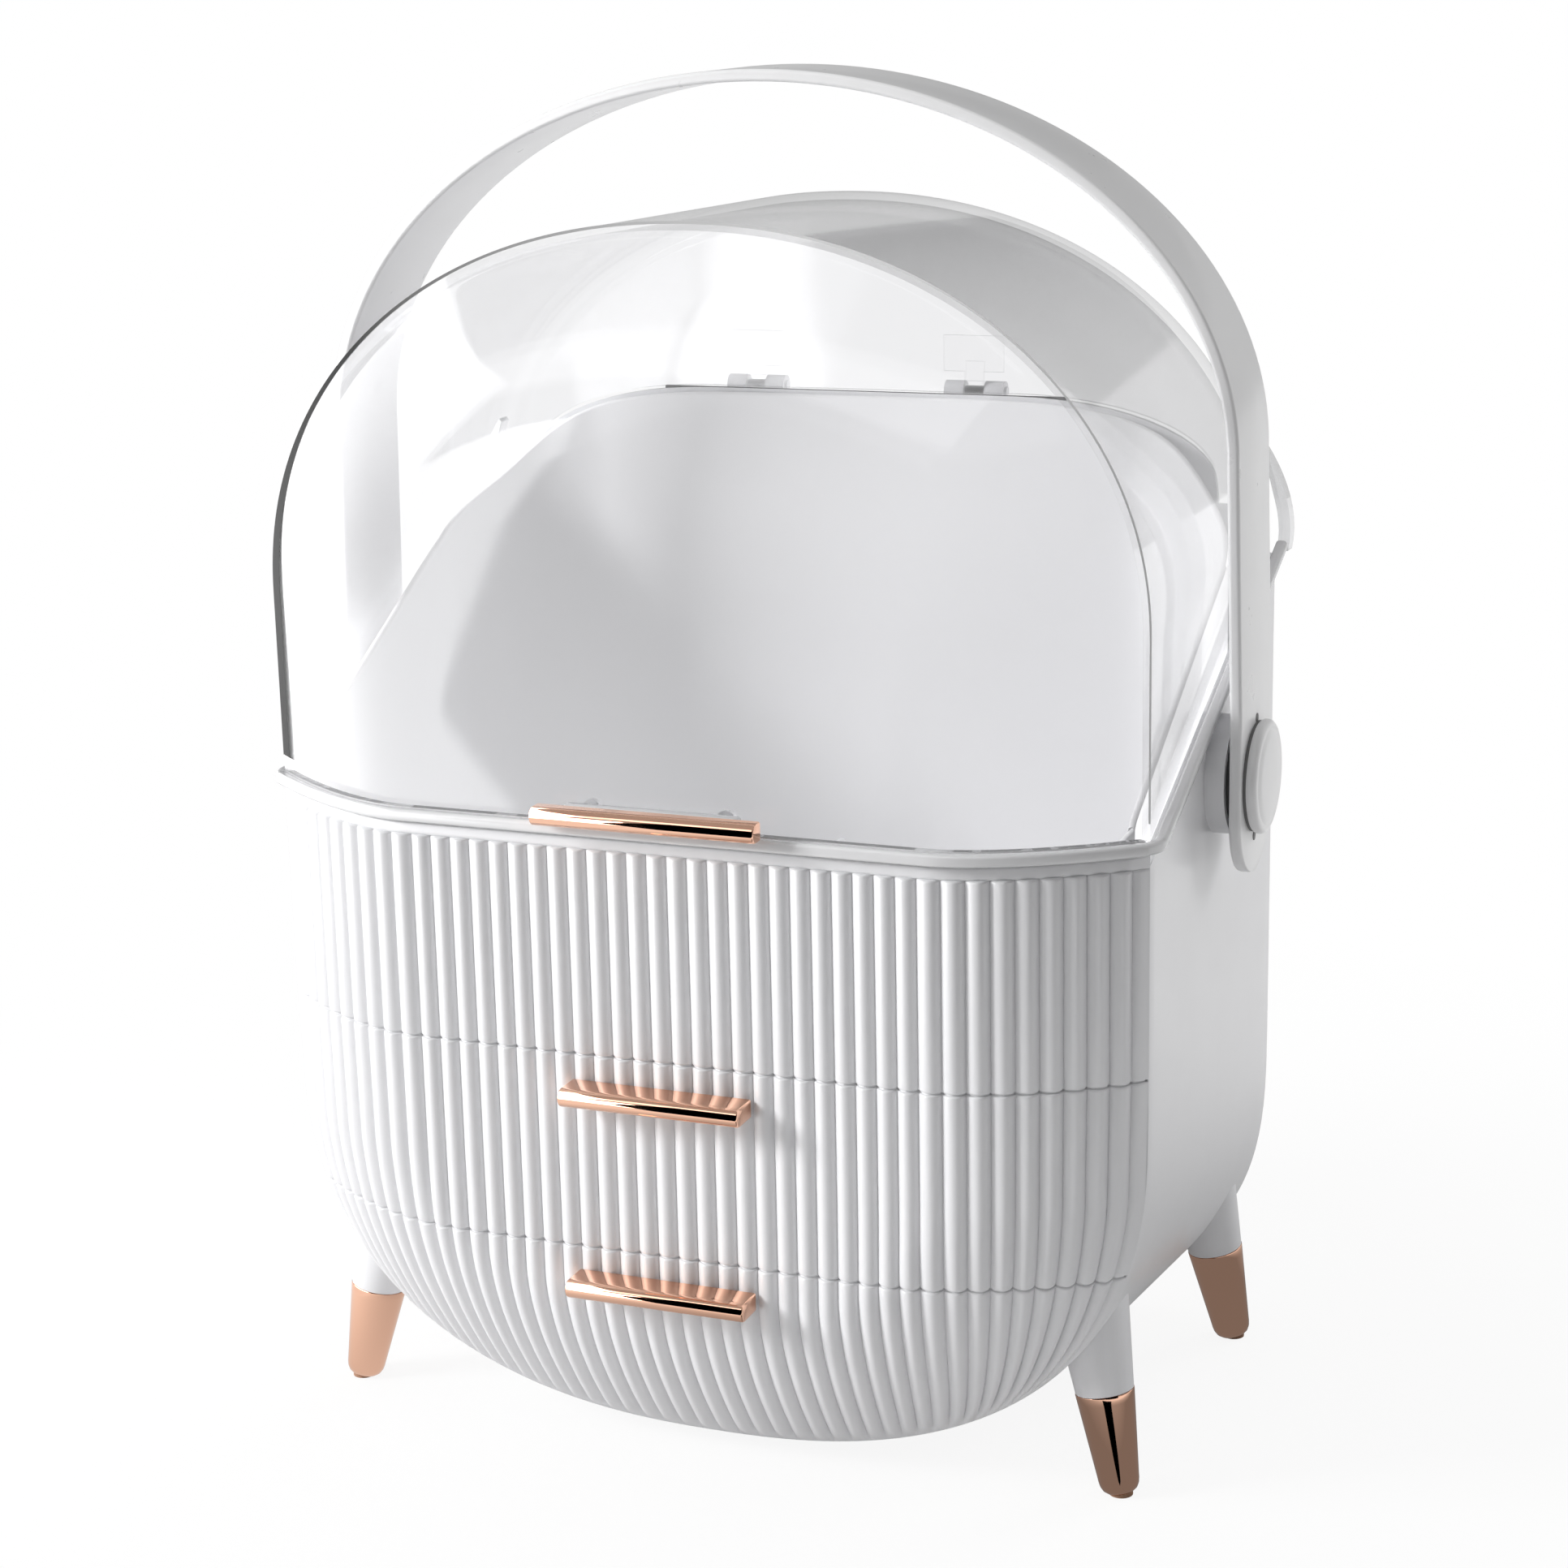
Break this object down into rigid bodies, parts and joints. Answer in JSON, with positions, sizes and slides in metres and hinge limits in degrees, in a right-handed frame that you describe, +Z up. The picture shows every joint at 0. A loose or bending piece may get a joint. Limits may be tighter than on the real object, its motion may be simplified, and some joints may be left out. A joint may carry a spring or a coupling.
{
  "type": "cosmetics organiser case",
  "caption": "Egg-shaped dustproof cosmetics case on splayed legs: ribbed drawers, a clear arched flip-up lid over a white bin, metal-look pulls and a strap handle.",
  "frame": {"origin": "floor under the middle of the case: x = 0 on the mirror plane, y = 0 midway between the noses of the pulls and the band on the back, z = 0 at the foot pads", "axes": "+Z up, the ribbed front and the pulls face -Y, +X is the viewer's right"},
  "size_m": [0.2928, 0.1844, 0.3925],
  "materials": {
    "shell_white": "satin-gloss moulded plastic",
    "inner_white": "satin moulded plastic",
    "strap_white": "semi-gloss moulded plastic",
    "clear_lid": "clear polished plastic",
    "clear_rim": "clear polished plastic, thicker and so darker",
    "rose_gold": "polished rose-gold plating",
    "screw_steel": "plated steel",
    "pin_steel": "plated steel",
    "washer_dark": "matt",
    "pad_rubber": "matt"
  },
  "bodies": {
    "case": {"housing": "shell_white", "upper_shelf": "inner_white", "lower_shelf": "inner_white", "drawer_rails": "inner_white", "top_bin": "inner_white", "bin_divider": "inner_white", "front_panel": "shell_white", "case_hinge_left": "shell_white", "case_hinge_right": "shell_white", "hinge_pins": "pin_steel", "pivot_boss_right": "shell_white", "pivot_boss_left": "shell_white", "pivot_washers": "washer_dark", "pivot_pin_right": "pin_steel", "pivot_pin_left": "pin_steel", "leg_socket_fr": "shell_white", "leg_socket_fl": "shell_white", "leg_socket_rr": "shell_white", "leg_socket_rl": "shell_white", "leg_cap_fr": "rose_gold", "leg_cap_fl": "rose_gold", "leg_cap_rr": "rose_gold", "leg_cap_rl": "rose_gold", "leg_studs": "screw_steel", "foot_pads": "pad_rubber"},
    "lid": {"lid_cover": "clear_lid", "lid_rim": "clear_rim", "rear_band": "shell_white", "lid_pull": "rose_gold", "lid_screws": "screw_steel", "lid_hinge_left": "clear_rim", "lid_hinge_right": "clear_rim"},
    "handle": {"handle_strap": "strap_white", "knob_right": "strap_white", "knob_left": "strap_white"},
    "drawer_1": {"drawer_1_front": "shell_white", "drawer_1_box": "inner_white", "drawer_1_pull": "rose_gold", "drawer_1_screws": "screw_steel"},
    "drawer_2": {"drawer_2_front": "shell_white", "drawer_2_box": "inner_white", "drawer_2_pull": "rose_gold", "drawer_2_screws": "screw_steel"}
  },
  "joints": [
    {"name": "lid_hinge", "type": "hinge", "parent": "case", "child": "lid", "pos_m": [0, 0.0895, 0.2924], "axis": [-1, 0, 0], "range_deg": [0, 100]},
    {"name": "handle_swing", "type": "hinge", "parent": "case", "child": "handle", "pos_m": [0, 0.0199, 0.1954], "axis": [-1, 0, 0], "range_deg": [0, 100]},
    {"name": "drawer_1_slide", "type": "slide", "parent": "case", "child": "drawer_1", "axis": [0, -1, 0], "range_m": [0, 0.11]},
    {"name": "drawer_2_slide", "type": "slide", "parent": "case", "child": "drawer_2", "axis": [0, -1, 0], "range_m": [0, 0.11]}
  ],
  "couplings": [
    {"joint": "handle_swing", "follows": "lid_hinge", "ratio": 1}
  ]
}
